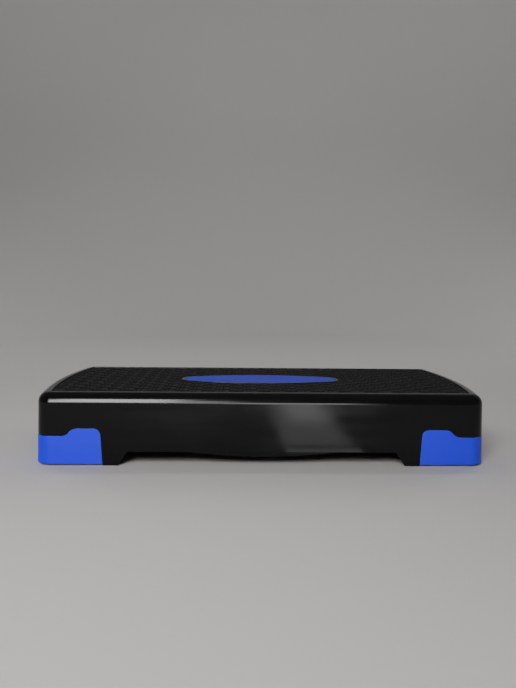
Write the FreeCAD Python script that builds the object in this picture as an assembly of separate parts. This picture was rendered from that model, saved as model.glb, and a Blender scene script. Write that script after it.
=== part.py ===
import FreeCAD, Part
import math
import os
from FreeCAD import Vector

# Two-level aerobic step: a ribbed plastic deck with a non-slip tread, standing on four corner feet
# that pull straight down for the higher level and are held there by hand-slid lock bolts.
# Millimetres, +Z up, origin on the floor under the middle of the deck, +X along the length.

# Deck shell
DECK_LENGTH = 684.0
DECK_WIDTH = 275.0
DECK_HEIGHT = 105.0
END_BOW = 16.5            # how far the short ends bow out beyond their corners
PLAN_CORNER = 24.0        # corner radius in plan, at the floor
SHOULDER = 15.0           # round between the walls and the top
DRAFT_DEG = 2.0           # the walls lean in towards the top
WALL = 3.0
PLATE = 3.0               # top plate under the tread
FLOOR_GAP = 0.5           # the deck's own stubs stop this far above the floor

# Tread and oval badge on the top
RIM_INSET = 21.5          # from the outline at the floor to the edge of the tread
TREAD_RECESS = 2.4
TREAD_THICKNESS = 1.2
TREAD_CLEARANCE = 0.3
OVAL_LENGTH = 254.0
OVAL_WIDTH = 70.0
OVAL_TIP = 18.0           # radius of the oval's ends
OVAL_COLLAR = 4.5         # raised ring of the deck round the badge
OVAL_COLLAR_DROP = 0.3    # the ring stops this far below the rim
BADGE_THICKNESS = 2.2
BADGE_CLEARANCE = 0.3

# Lower edge of the skirt
ARCH_TOP = 20.3           # height of the lower edge between the stubs
STUB_LENGTH = 22.0        # deck foot beside each corner foot, on the long walls
END_STUB_LENGTH = 18.5    # the same on the short walls
SLANT_RUN = 13.5          # run of the slope from a stub up to the lower edge
BELLY_SPAN = 220.0        # shallow stiffening lip that hangs under the middle of the long walls
BELLY_DROP = 7.0
BELLY_SETBACK = 2.0
BELLY_THICKNESS = 3.0
BELLY_LAP = 8.0

# Stiffening ribs under the plate
RIB = 2.5
RIB_DEPTH = 28.0
RIB_PITCH_LONG = 56.0     # spacing of the ribs that run across
RIB_PITCH_WIDE = 45.0     # spacing of the ribs that run along
BULKHEAD_BACK = 8.0       # from a corner foot's edge in to the cross wall beside it
BULKHEAD_ARCH = 60.0      # height of the cross wall's lower edge in the middle
BULKHEAD_LEG = 32.0       # width of the cross wall's leg at the floor
BULKHEAD_SLOPE = 25.0

# Corner feet
FOOT_LENGTH = 111.0       # along the long wall, at the floor
FOOT_DEPTH = 72.0         # along the short wall, at the floor
FOOT_LEAN = 2.5           # the inner edge leans outwards as it rises
LEDGE_TOP = 43.0
HUMP_TOP = 54.0
HUMP_ROUND = 10.5
HUMP_FLAT = 23.5          # flat top of the hump on the long wall
END_HUMP_FLAT = 9.0       # the same on the short wall
RAMP_RUN = 23.0           # S-shaped run from the hump down to the ledge
SEAM = 0.4                # gap between a foot's skin and its notch
SKIN = 2.4                # at the top of the hump; the inside stands upright, so it is thicker below
SOLE = 3.2
FOOT_TRAVEL = 50.0

# Foot column and the deck socket that guides it
COLUMN_LENGTH = 54.0
COLUMN_WIDTH = 45.0
COLUMN_END_GAP = 32.0     # from the deck's end in to the column
COLUMN_SIDE_GAP = 12.5    # from the deck's long side in to the column
COLUMN_CORNER = 6.0       # bevel along the column's upright edges
COLUMN_WALL = 3.0
COLUMN_HEADROOM = 4.6     # left above the column when the foot is up
SLIDE_CLEARANCE = 0.5
SOCKET_WALL = 2.5
LOCK_WALL = 5.0           # thicker socket wall that carries the lock
SOCKET_BOTTOM = 20.0
GUSSET = 2.5
GUSSET_CLEARANCE = 0.3
STOP_WIDTH = 8.0          # stop nub on the column, which runs in a slot of the socket
STOP_HEIGHT = 5.0
STOP_DEPTH = 2.0
STOP_DOWN = 4.0           # from the top of the column down to the nub

# Rubber sole pads
PAD_PROUD = 2.0
PAD_SEAT = 1.2
PAD_INSET = 3.0
PAD_CLEARANCE = 0.2

# Lock bolts, their keepers and screws
BOLT_HEIGHT = 34.0        # centre of the bolt above the floor
BOLT_WIDTH = 14.0
BOLT_THICK = 8.0
BOLT_NOSE_WIDTH = 16.5
BOLT_NOSE = 4.3
BOLT_TRAVEL = 12.0
BOLT_CLEARANCE = 0.3
BOLT_HEAD_WIDTH = 24.0
BOLT_HEAD_TALL = 15.0
BOLT_HEAD = 5.0
BOLT_HEAD_BEVEL = 3.0
BOLT_STOP_GAP = 1.0       # left between head and keeper when the bolt is home
WINDOW_CLEARANCE = 0.6
KEEPER_FLANGE = 2.5
KEEPER_LENGTH = 44.0
KEEPER_TALL = 19.0
KEEPER_WALL = 2.5
KEEPER_TUNNEL = 14.0
KEEPER_BEVEL = 3.0
SCREW_SPACING = 34.0
SCREW_SHANK = 2.9
SCREW_SIDES = 6           # flats of the head, the shank and its hole
SCREW_HEAD = 6.0
SCREW_HEAD_TALL = 2.0
SCREW_LENGTH = 6.5
SCREW_CLEARANCE = 0.1

# Places worked out from the sizes above
EPS = 1.0                 # how far a cut or a joined piece runs past the face it meets
TOUCH = 0.001
LEAN_IN = math.tan(math.radians(DRAFT_DEG))
HALF_LENGTH = DECK_LENGTH / 2
HALF_WIDTH = DECK_WIDTH / 2
END_RADIUS = (HALF_WIDTH ** 2 + END_BOW ** 2) / (2 * END_BOW)
END_CENTRE = HALF_LENGTH - END_RADIUS
CORNER_Y = HALF_WIDTH - PLAN_CORNER
CORNER_X = END_CENTRE + math.sqrt((END_RADIUS - PLAN_CORNER) ** 2 - CORNER_Y ** 2)
TREAD_FLOOR = DECK_HEIGHT - TREAD_RECESS
PLATE_BOTTOM = TREAD_FLOOR - PLATE
INNER_BEVEL = (SHOULDER - WALL) * 2 / 3
OVAL_TIP_X = OVAL_LENGTH / 2 - OVAL_TIP
OVAL_TIP_SPARE = OVAL_WIDTH / 2 - OVAL_TIP
OVAL_LONG_CENTRE = (OVAL_TIP_X ** 2 - OVAL_TIP_SPARE ** 2) / (2 * OVAL_TIP_SPARE)
FOOT_X = HALF_LENGTH - FOOT_LENGTH
FOOT_Y = HALF_WIDTH - FOOT_DEPTH
COLUMN_X1 = HALF_LENGTH - COLUMN_END_GAP
COLUMN_X0 = COLUMN_X1 - COLUMN_LENGTH
COLUMN_Y1 = HALF_WIDTH - COLUMN_SIDE_GAP
COLUMN_Y0 = COLUMN_Y1 - COLUMN_WIDTH
COLUMN_TOP = PLATE_BOTTOM - COLUMN_HEADROOM
STOP_TOP = COLUMN_TOP - STOP_DOWN
STOP_BOTTOM = STOP_TOP - STOP_HEIGHT
STOP_Y = (COLUMN_Y0 + COLUMN_Y1) / 2
BOLT_X = (COLUMN_X0 + COLUMN_X1) / 2
SOCKET_Y0 = COLUMN_Y0 - SLIDE_CLEARANCE
LOCK_FACE = SOCKET_Y0 - LOCK_WALL
KEEPER_FACE = LOCK_FACE - KEEPER_FLANGE
KEEPER_END = KEEPER_FACE - KEEPER_TUNNEL
BOLT_TIP = SOCKET_Y0 - BOLT_CLEARANCE
BOLT_BACK = KEEPER_END - BOLT_STOP_GAP - BOLT_TRAVEL
BULKHEAD_X = FOOT_X - BULKHEAD_BACK
CORNERS = {
    "front_left": (-1, -1),
    "front_right": (1, -1),
    "back_left": (-1, 1),
    "back_right": (1, 1),
}


def box(x0, x1, y0, y1, z0, z1):
    """A block between two corners."""
    return Part.makeBox(x1 - x0, y1 - y0, z1 - z0, Vector(x0, y0, z0))


def strip(points, depth):
    """A straight-edged face through the points, pushed along depth."""
    return Part.Face(Part.makePolygon(points + points[:1])).extrude(depth)


def bevelled_corners(u0, u1, v0, v1, bevel):
    """The eight points of a rectangle with its corners cut off."""
    return [(u0 + bevel, v0), (u1 - bevel, v0), (u1, v0 + bevel), (u1, v1 - bevel),
            (u1 - bevel, v1), (u0 + bevel, v1), (u0, v1 - bevel), (u0, v0 + bevel)]


def y_plate(half_width, half_tall, y0, y1, bevel):
    """A plate square to Y, centred on a lock bolt, with its corners cut off."""
    corners = bevelled_corners(BOLT_X - half_width, BOLT_X + half_width,
                               BOLT_HEIGHT - half_tall, BOLT_HEIGHT + half_tall, bevel)
    return strip([Vector(x, y0, z) for x, z in corners], Vector(0, y1 - y0, 0))


def screw_bar(x, y0, y1, across):
    """A stretch of a keeper screw, or of its hole: a bar of regular section along Y."""
    radius = across / 2 / math.cos(math.pi / SCREW_SIDES)
    turns = [math.pi * (2 * k + 1) / SCREW_SIDES for k in range(SCREW_SIDES)]
    points = [Vector(x + radius * math.cos(a), y0, BOLT_HEIGHT + radius * math.sin(a)) for a in turns]
    return strip(points, Vector(0, y1 - y0, 0))


def line(start, end):
    """A straight edge."""
    return Part.LineSegment(start, end).toShape()


def arc(start, middle, end):
    """A round edge through three points."""
    return Part.Arc(start, middle, end).toShape()


def flip(point, sx, sy):
    """A point of the +X +Y quarter, in the quarter with the given signs."""
    return Vector(sx * point.x, sy * point.y, point.z)


def outline(inset, z):
    """The deck's plan outline drawn in by inset: straight long sides, bowed ends, round corners."""
    side = HALF_WIDTH - inset
    end_radius = END_RADIUS - inset
    corner = PLAN_CORNER - inset
    reach = math.hypot(CORNER_X - END_CENTRE, CORNER_Y)
    unit_x = (CORNER_X - END_CENTRE) / reach
    unit_y = CORNER_Y / reach
    swing = math.atan2(unit_y, unit_x)
    bisect = (math.pi / 2 + swing) / 2
    long_end = Vector(CORNER_X, side, z)
    corner_mid = Vector(CORNER_X + corner * math.cos(bisect), CORNER_Y + corner * math.sin(bisect), z)
    end_top = Vector(END_CENTRE + end_radius * unit_x, end_radius * unit_y, z)
    end_mid = Vector(END_CENTRE + end_radius, 0, z)
    edges = [
        line(flip(long_end, -1, 1), long_end),
        arc(long_end, corner_mid, end_top),
        arc(end_top, end_mid, flip(end_top, 1, -1)),
        arc(flip(end_top, 1, -1), flip(corner_mid, 1, -1), flip(long_end, 1, -1)),
        line(flip(long_end, 1, -1), flip(long_end, -1, -1)),
        arc(flip(long_end, -1, -1), flip(corner_mid, -1, -1), flip(end_top, -1, -1)),
        arc(flip(end_top, -1, -1), flip(end_mid, -1, 1), flip(end_top, -1, 1)),
        arc(flip(end_top, -1, 1), flip(corner_mid, -1, 1), flip(long_end, -1, 1)),
    ]
    return Part.Wire(edges)


def envelope(inset, z0, z1, top_bevel=0.0):
    """A solid with the deck's drafted walls, drawn in by inset, with its top edge bevelled if asked."""
    wires = [outline(inset + z * LEAN_IN, z) for z in (z0, z1 - top_bevel)]
    if top_bevel > 0:
        wires.append(outline(inset + top_bevel + z1 * LEAN_IN, z1))
    return Part.makeLoft(wires, True, True)


def round_top(solid, radius):
    """The solid with the edge of its flat top rounded."""
    top = solid.BoundBox.ZMax
    return solid.makeFillet(radius, [e for e in solid.Edges if e.BoundBox.ZMin > top - TOUCH])


def upright_prism(inset, z0, z1):
    """A straight-sided solid with the deck's outline drawn in by inset."""
    return Part.Face(outline(inset, z0)).extrude(Vector(0, 0, z1 - z0))


def oval(grow, z):
    """The badge's oval outline of four tangent arcs, grown or shrunk evenly all round."""
    long_radius = OVAL_WIDTH / 2 + OVAL_LONG_CENTRE + grow
    stretch = long_radius / math.hypot(OVAL_TIP_X, OVAL_LONG_CENTRE)
    join = Vector(OVAL_TIP_X * stretch, OVAL_LONG_CENTRE * (stretch - 1), z)
    tip = Vector(OVAL_LENGTH / 2 + grow, 0, z)
    side = Vector(0, OVAL_WIDTH / 2 + grow, z)
    edges = [
        arc(flip(join, 1, -1), tip, join),
        arc(join, side, flip(join, -1, 1)),
        arc(flip(join, -1, 1), flip(tip, -1, 1), flip(join, -1, -1)),
        arc(flip(join, -1, -1), flip(side, 1, -1), flip(join, 1, -1)),
    ]
    return Part.Wire(edges)


def oval_prism(grow, z0, z1):
    """An upright oval solid on the middle of the deck."""
    return Part.Face(oval(grow, z0)).extrude(Vector(0, 0, z1 - z0))


def mirrored(shape, sx, sy):
    """A copy of a shape made in the +X +Y corner, for the corner with the given signs."""
    copy = shape
    if sx < 0:
        copy = copy.mirror(Vector(0, 0, 0), Vector(1, 0, 0))
    if sy < 0:
        copy = copy.mirror(Vector(0, 0, 0), Vector(0, 1, 0))
    return copy


def all_corners(shape):
    """The four mirrored copies of a shape made in the +X +Y corner."""
    return [mirrored(shape, sx, sy) for sx, sy in CORNERS.values()]


def foot_contour(inner, hump_flat, far, low, grow, place):
    """The face of a foot on one wall: leaning edge, rounded hump, S-shaped ramp and low ledge."""
    top = HUMP_TOP + grow
    ledge = LEDGE_TOP + grow
    lean_height = HUMP_TOP - HUMP_ROUND
    foot_of_edge = inner - grow + FOOT_LEAN * low / lean_height
    edge_top = inner - grow + FOOT_LEAN
    hump_start = inner + FOOT_LEAN + HUMP_ROUND
    hump_end = hump_start + hump_flat
    ramp_end = hump_end + RAMP_RUN
    round_mid = math.sqrt(0.5) * (HUMP_ROUND + grow)
    rise = HUMP_TOP - LEDGE_TOP
    ramp_radius = (RAMP_RUN ** 2 + rise ** 2) / (4 * rise)
    turn = math.atan2(rise, RAMP_RUN)

    def crest(angle):
        """A point of the ramp's upper arc."""
        radius = ramp_radius + grow
        centre = HUMP_TOP - ramp_radius
        return place(hump_end + radius * math.sin(angle), centre + radius * math.cos(angle))

    def trough(angle):
        """A point of the ramp's lower arc."""
        radius = ramp_radius - grow
        centre = LEDGE_TOP + ramp_radius
        return place(ramp_end - radius * math.sin(angle), centre - radius * math.cos(angle))

    edges = [
        line(place(foot_of_edge, low), place(edge_top, lean_height)),
        arc(place(edge_top, lean_height), place(hump_start - round_mid, lean_height + round_mid),
            place(hump_start, top)),
        line(place(hump_start, top), place(hump_end, top)),
        arc(crest(0), crest(turn), crest(2 * turn)),
        arc(crest(2 * turn), trough(turn), trough(0)),
        line(place(ramp_end, ledge), place(far, ledge)),
        line(place(far, ledge), place(far, low)),
        line(place(far, low), place(foot_of_edge, low)),
    ]
    return Part.Face(Part.Wire(edges))


def foot_zone(low, grow):
    """The space of a foot's skin, as prisms through the long wall and the short wall at one corner."""
    far_x = HALF_LENGTH + EPS
    far_y = HALF_WIDTH + EPS
    long_face = foot_contour(FOOT_X, HUMP_FLAT, far_x, low, grow, lambda u, z: Vector(u, CORNER_Y, z))
    end_face = foot_contour(FOOT_Y, END_HUMP_FLAT, far_y, low, grow, lambda u, z: Vector(CORNER_X, u, z))
    long_prism = long_face.extrude(Vector(0, far_y - CORNER_Y, 0))
    end_prism = end_face.extrude(Vector(far_x - CORNER_X, 0, 0))
    return long_prism.fuse(end_prism)


def column_block(grow, z0, z1):
    """The foot column's outer block, grown or shrunk evenly all round."""
    bevel = COLUMN_CORNER + grow * (2 - math.sqrt(2))
    corners = bevelled_corners(COLUMN_X0 - grow, COLUMN_X1 + grow,
                               COLUMN_Y0 - grow, COLUMN_Y1 + grow, bevel)
    return strip([Vector(x, y, z0) for x, y in corners], Vector(0, 0, z1 - z0))


def lock_window(z, y0, y1):
    """The hole that the lock bolt's nose passes through."""
    half = BOLT_NOSE_WIDTH / 2 + WINDOW_CLEARANCE
    tall = BOLT_THICK / 2 + WINDOW_CLEARANCE
    return box(BOLT_X - half, BOLT_X + half, y0, y1, z - tall, z + tall)


def screw_places():
    """Centres of the two screws of one keeper, along X."""
    return [BOLT_X - SCREW_SPACING / 2, BOLT_X + SCREW_SPACING / 2]


def screw_holes(y0, y1):
    """The holes of one keeper's screws."""
    return [screw_bar(x, y0, y1, SCREW_SHANK + 2 * SCREW_CLEARANCE) for x in screw_places()]


def socket():
    """The deck's guide for one foot column, with its stop slot, lock window and screw holes."""
    grow = SLIDE_CLEARANCE + SOCKET_WALL
    block = column_block(grow, SOCKET_BOTTOM, PLATE_BOTTOM + EPS)
    lock_wall = box(COLUMN_X0, COLUMN_X1, LOCK_FACE, SOCKET_Y0, SOCKET_BOTTOM, PLATE_BOTTOM + EPS)
    block = block.fuse(lock_wall)
    bore = column_block(SLIDE_CLEARANCE, SOCKET_BOTTOM - EPS, PLATE_BOTTOM)
    half = STOP_WIDTH / 2 + WINDOW_CLEARANCE
    slot = box(COLUMN_X0 - grow - EPS, COLUMN_X0, STOP_Y - half, STOP_Y + half,
               STOP_BOTTOM - FOOT_TRAVEL - SEAM, STOP_TOP + SEAM)
    window = lock_window(BOLT_HEIGHT, LOCK_FACE - EPS, COLUMN_Y0)
    return block.cut([bore, slot, window] + screw_holes(LOCK_FACE - EPS, SOCKET_Y0 + EPS))


def socket_ties():
    """Ribs above the foot's skin that tie one socket to the walls, the cross wall and the next socket."""
    low = PLATE_BOTTOM - RIB_DEPTH
    high = PLATE_BOTTOM + EPS
    grow = SLIDE_CLEARANCE + SOCKET_WALL / 2
    to_side = box(BOLT_X - RIB / 2, BOLT_X + RIB / 2, COLUMN_Y1 + grow, HALF_WIDTH, low, high)
    to_end = box(COLUMN_X1 + grow, HALF_LENGTH, STOP_Y - RIB / 2, STOP_Y + RIB / 2, low, high)
    y_mid = COLUMN_Y1 - COLUMN_CORNER - RIB
    to_cross = box(BULKHEAD_X, COLUMN_X0 - grow, y_mid - RIB / 2, y_mid + RIB / 2, low, high)
    to_mate = box(BOLT_X - RIB / 2, BOLT_X + RIB / 2, 0, SOCKET_Y0 - LOCK_WALL / 2, low, high)
    end_web = box(CORNER_X, HALF_LENGTH, FOOT_Y - END_STUB_LENGTH / 2 - RIB / 2,
                  FOOT_Y - END_STUB_LENGTH / 2 + RIB / 2, FLOOR_GAP, high)
    return [to_side, to_end, to_cross, to_mate, end_web]


def bulkhead():
    """The cross wall beside the feet of one end: a leg to the floor at each side and an arch between."""
    leg = HALF_WIDTH - BULKHEAD_LEG
    arch = leg - BULKHEAD_SLOPE
    half_profile = [(HALF_WIDTH, FLOOR_GAP), (leg, FLOOR_GAP), (arch, BULKHEAD_ARCH)]
    profile = half_profile + [(-y, z) for y, z in reversed(half_profile)]
    profile += [(-HALF_WIDTH, PLATE_BOTTOM + EPS), (HALF_WIDTH, PLATE_BOTTOM + EPS)]
    return strip([Vector(BULKHEAD_X - RIB / 2, y, z) for y, z in profile], Vector(RIB, 0, 0))


def rib_grid():
    """Ribs under the plate: across between the cross walls, and along the whole deck."""
    low = PLATE_BOTTOM - RIB_DEPTH
    high = PLATE_BOTTOM + EPS
    ribs = []
    across = int(BULKHEAD_X // RIB_PITCH_LONG)
    for k in range(-across, across + 1):
        x = k * RIB_PITCH_LONG
        if abs(x) < BULKHEAD_X - RIB_PITCH_LONG / 3:
            ribs.append(box(x - RIB / 2, x + RIB / 2, -HALF_WIDTH, HALF_WIDTH, low, high))
    along = int((HALF_WIDTH - WALL) // RIB_PITCH_WIDE)
    for k in range(-along, along + 1):
        y = k * RIB_PITCH_WIDE
        clear_of_sockets = abs(y) + RIB < LOCK_FACE
        reach = HALF_LENGTH if clear_of_sockets else BULKHEAD_X
        if abs(y) < HALF_WIDTH - RIB_PITCH_WIDE / 2:
            ribs.append(box(-reach, reach, y - RIB / 2, y + RIB / 2, low, high))
    return ribs


def belly_lips():
    """The shallow lips that hang under the middle of both long walls, set back from their faces."""
    half = BELLY_SPAN / 2
    y0 = HALF_WIDTH - BELLY_SETBACK - BELLY_THICKNESS
    edges = [
        arc(Vector(-half, y0, ARCH_TOP), Vector(0, y0, ARCH_TOP - BELLY_DROP), Vector(half, y0, ARCH_TOP)),
        line(Vector(half, y0, ARCH_TOP), Vector(half, y0, ARCH_TOP + BELLY_LAP)),
        line(Vector(half, y0, ARCH_TOP + BELLY_LAP), Vector(-half, y0, ARCH_TOP + BELLY_LAP)),
        line(Vector(-half, y0, ARCH_TOP + BELLY_LAP), Vector(-half, y0, ARCH_TOP)),
    ]
    lip = Part.Face(Part.Wire(edges)).extrude(Vector(0, BELLY_THICKNESS, 0))
    return [lip, mirrored(lip, 1, -1)]


def arch_cuts():
    """The spaces under the skirt between the stubs, through the long walls and through the short walls."""
    low = -EPS
    long_foot = FOOT_X - STUB_LENGTH
    end_foot = FOOT_Y - END_STUB_LENGTH
    cuts = []
    for foot, place, depth in (
        (long_foot, lambda u, z: Vector(u, -DECK_WIDTH, z), Vector(0, 2 * DECK_WIDTH, 0)),
        (end_foot, lambda u, z: Vector(-DECK_LENGTH, u, z), Vector(2 * DECK_LENGTH, 0, 0)),
    ):
        half_profile = [(foot, low), (foot, FLOOR_GAP), (foot - SLANT_RUN, ARCH_TOP)]
        profile = half_profile + [(-u, z) for u, z in reversed(half_profile)]
        cuts.append(strip([place(u, z) for u, z in profile], depth))
    return cuts


def deck_shell():
    """The black deck moulding: drafted walls, rounded shoulder, tread recess, ribs and foot sockets."""
    outer = round_top(envelope(0, FLOOR_GAP, DECK_HEIGHT), SHOULDER)
    cavity = envelope(WALL, FLOOR_GAP - EPS, PLATE_BOTTOM, INNER_BEVEL)
    core = envelope(WALL / 2, FLOOR_GAP, PLATE_BOTTOM + PLATE / 2, INNER_BEVEL)
    tread_recess = upright_prism(RIM_INSET, TREAD_FLOOR, DECK_HEIGHT + EPS)
    collar = oval_prism(OVAL_COLLAR, TREAD_FLOOR - EPS, DECK_HEIGHT - OVAL_COLLAR_DROP)
    pocket = oval_prism(0, TREAD_FLOOR, DECK_HEIGHT + EPS)
    shell = outer.cut([cavity, tread_recess.cut(collar.cut(pocket))])
    shell = shell.cut(arch_cuts() + all_corners(foot_zone(-EPS, SEAM)))
    inside = rib_grid() + [bulkhead(), mirrored(bulkhead(), -1, 1)]
    for tie in socket_ties():
        inside += all_corners(tie)
    frame = inside[0].fuse(inside[1:]).common(core)
    bores = all_corners(column_block(SLIDE_CLEARANCE, 0, PLATE_BOTTOM))
    frame = frame.cut(bores)
    body = shell.fuse([frame] + all_corners(socket()) + belly_lips())
    return body.removeSplitter()


def tread_mat():
    """The non-slip tread sheet, with an oval opening round the badge's collar."""
    sheet = upright_prism(RIM_INSET + TREAD_CLEARANCE, TREAD_FLOOR, TREAD_FLOOR + TREAD_THICKNESS)
    return sheet.cut(oval_prism(OVAL_COLLAR + TREAD_CLEARANCE, TREAD_FLOOR - EPS, DECK_HEIGHT))


def oval_badge():
    """The plain oval insert."""
    return oval_prism(-BADGE_CLEARANCE, TREAD_FLOOR, TREAD_FLOOR + BADGE_THICKNESS)


def corner_foot():
    """One coloured corner foot: skin flush with the deck, sole, guide column, crossed webs and stop nub."""
    sole_top = PAD_PROUD + SOLE
    skin = envelope(0, PAD_PROUD, HUMP_TOP + EPS).common(foot_zone(PAD_PROUD, 0))
    skin = skin.cut(upright_prism(SKIN + HUMP_TOP * LEAN_IN, sole_top, HUMP_TOP + 2 * EPS))
    quarter = box(FOOT_X + SEAM, HALF_LENGTH, FOOT_Y + SEAM, HALF_WIDTH, PAD_PROUD, HUMP_TOP)
    inside = upright_prism(SKIN, PAD_PROUD, HUMP_TOP).common(quarter)
    sole = inside.common(box(0, DECK_LENGTH, 0, DECK_WIDTH, PAD_PROUD, sole_top))
    column = column_block(0, PAD_PROUD, COLUMN_TOP)
    column = column.cut(column_block(-COLUMN_WALL, sole_top, COLUMN_TOP + EPS))
    seat = SOCKET_BOTTOM - GUSSET_CLEARANCE
    along = box(FOOT_X, HALF_LENGTH, STOP_Y - GUSSET / 2, STOP_Y + GUSSET / 2, PAD_PROUD, seat)
    across = box(BOLT_X - GUSSET / 2, BOLT_X + GUSSET / 2, FOOT_Y, HALF_WIDTH, PAD_PROUD, seat)
    webs = along.fuse(across).common(inside)
    nub = box(COLUMN_X0 - STOP_DEPTH, COLUMN_X0 + COLUMN_WALL / 2, STOP_Y - STOP_WIDTH / 2,
              STOP_Y + STOP_WIDTH / 2, STOP_BOTTOM, STOP_TOP)
    body = skin.fuse([sole, column, webs, nub])
    windows = [lock_window(z, COLUMN_Y0 - EPS, COLUMN_Y0 + COLUMN_WALL + EPS)
               for z in (BOLT_HEIGHT, BOLT_HEIGHT + FOOT_TRAVEL)]
    return body.cut(windows + [pad_block(-PAD_CLEARANCE, -EPS)]).removeSplitter()


def pad_block(shrink, low):
    """The space of a sole pad, from low up to its seat in the sole."""
    inset = PAD_INSET + shrink
    high = PAD_PROUD + PAD_SEAT
    quarter = box(FOOT_X + inset, HALF_LENGTH, FOOT_Y + inset, HALF_WIDTH, low, high)
    return upright_prism(inset, low, high).common(quarter)


def lock_bolt():
    """One lock bolt, drawn back: wide nose in the socket wall, slim shaft, finger plate."""
    half = BOLT_THICK / 2
    shaft = box(BOLT_X - BOLT_WIDTH / 2, BOLT_X + BOLT_WIDTH / 2, BOLT_BACK, BOLT_TIP,
                BOLT_HEIGHT - half, BOLT_HEIGHT + half)
    nose = box(BOLT_X - BOLT_NOSE_WIDTH / 2, BOLT_X + BOLT_NOSE_WIDTH / 2, BOLT_TIP - BOLT_NOSE, BOLT_TIP,
               BOLT_HEIGHT - half, BOLT_HEIGHT + half)
    head = y_plate(BOLT_HEAD_WIDTH / 2, BOLT_HEAD_TALL / 2, BOLT_BACK - BOLT_HEAD, BOLT_BACK,
                   BOLT_HEAD_BEVEL)
    return head.fuse([shaft, nose]).removeSplitter()


def lock_keeper():
    """The flanged sleeve that guides one bolt, screwed to the socket's thick wall."""
    flange = y_plate(KEEPER_LENGTH / 2, KEEPER_TALL / 2, KEEPER_FACE, LOCK_FACE, KEEPER_BEVEL)
    bore_x = BOLT_WIDTH / 2 + BOLT_CLEARANCE
    bore_z = BOLT_THICK / 2 + BOLT_CLEARANCE
    sleeve = box(BOLT_X - bore_x - KEEPER_WALL, BOLT_X + bore_x + KEEPER_WALL, KEEPER_END, KEEPER_FACE,
                 BOLT_HEIGHT - bore_z - KEEPER_WALL, BOLT_HEIGHT + bore_z + KEEPER_WALL)
    bore = box(BOLT_X - bore_x, BOLT_X + bore_x, KEEPER_END - EPS, LOCK_FACE + EPS,
               BOLT_HEIGHT - bore_z, BOLT_HEIGHT + bore_z)
    holes = screw_holes(KEEPER_FACE - EPS, LOCK_FACE + EPS)
    return flange.fuse(sleeve).cut([bore] + holes).removeSplitter()


def keeper_screws():
    """The two screws of one keeper: a low head with flats on a plain shank."""
    screws = []
    for x in screw_places():
        head = screw_bar(x, KEEPER_FACE - SCREW_HEAD_TALL, KEEPER_FACE, SCREW_HEAD)
        shank_start = KEEPER_FACE - SCREW_HEAD_TALL / 2
        shank = screw_bar(x, shank_start, KEEPER_FACE + SCREW_LENGTH, SCREW_SHANK)
        screws.append(head.fuse(shank).removeSplitter())
    return screws


def build():
    """Every node by name."""
    nodes = {"deck_shell": deck_shell(), "tread_mat": tread_mat(), "oval_badge": oval_badge()}
    foot = corner_foot()
    pad = pad_block(0, 0)
    bolt = lock_bolt()
    keeper = lock_keeper()
    screws = []
    for name, (sx, sy) in CORNERS.items():
        nodes[name + "_foot"] = mirrored(foot, sx, sy)
        nodes[name + "_sole_pad"] = mirrored(pad, sx, sy)
        nodes[name + "_lock_bolt"] = mirrored(bolt, sx, sy)
        nodes[name + "_lock_keeper"] = mirrored(keeper, sx, sy)
        screws += [mirrored(screw, sx, sy) for screw in keeper_screws()]
    nodes["keeper_screws"] = Part.makeCompound(screws)
    return nodes


os.makedirs("parts", exist_ok=True)
for node, shape in build().items():
    print(node, "valid" if shape.isValid() else "NOT VALID", len(shape.Solids), "solids",
          round(shape.Volume / 1000, 1), "cm3")
    shape.exportStep("parts/" + node + ".step")
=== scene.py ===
"""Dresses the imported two-level step: finishes, tread bars, grip ribs, screws, studio and camera."""
import logging
import math
from dataclasses import dataclass, field
from enum import Enum
from typing import Callable, Optional

import bmesh
import bpy
from mathutils import Matrix, Vector


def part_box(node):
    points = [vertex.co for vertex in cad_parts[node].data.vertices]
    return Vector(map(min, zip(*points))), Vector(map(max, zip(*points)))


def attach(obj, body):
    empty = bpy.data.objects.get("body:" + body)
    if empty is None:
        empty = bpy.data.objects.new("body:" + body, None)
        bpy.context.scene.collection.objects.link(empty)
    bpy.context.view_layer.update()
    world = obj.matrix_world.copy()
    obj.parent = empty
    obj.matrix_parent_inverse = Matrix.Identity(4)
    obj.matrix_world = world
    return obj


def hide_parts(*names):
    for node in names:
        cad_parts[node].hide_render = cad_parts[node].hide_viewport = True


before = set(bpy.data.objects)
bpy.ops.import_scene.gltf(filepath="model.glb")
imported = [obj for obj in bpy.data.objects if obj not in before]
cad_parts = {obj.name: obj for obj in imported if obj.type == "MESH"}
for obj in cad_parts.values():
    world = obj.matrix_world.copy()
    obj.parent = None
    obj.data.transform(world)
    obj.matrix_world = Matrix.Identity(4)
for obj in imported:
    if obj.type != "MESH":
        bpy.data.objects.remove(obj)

LOG = logging.getLogger("step_platform")
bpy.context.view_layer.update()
MM = 0.001

# Distance at which points merge, and the angles up to which faces count as flat, plain and smooth
WELD = 1e-6
FLAT = math.radians(0.2)
CREASE = math.radians(40.0)
SMOOTH = math.radians(42.0)

# Attribute that marks scuffed edges and bar tops for the finishes; on the tread's bar tops the paler colour
# it brings is partly abrasion and partly painted highlight where light catches them
EDGE_WEAR_AND_SHEEN = "edge_wear_and_sheen"
SEED = 7

# Sockets that share a name with others of their node, so they are found by number
MIX_COLOURS = (6, 7)
MIX_RESULT = 2
RANDOM_LIMITS = (2, 3)
RANDOM_RESULT = 1

Colour = tuple[float, float, float]
Triple = tuple[float, float, float]
Socket = bpy.types.NodeSocket


class Slot(Enum):
    """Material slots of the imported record."""

    DECK = "deck_plastic"
    TREAD = "tread_rubber"
    BLUE = "blue_plastic"
    PAD = "pad_rubber"
    BOLT = "lock_nylon"
    KEEPER = "keeper_plastic"
    SCREW = "screw_steel"


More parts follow.
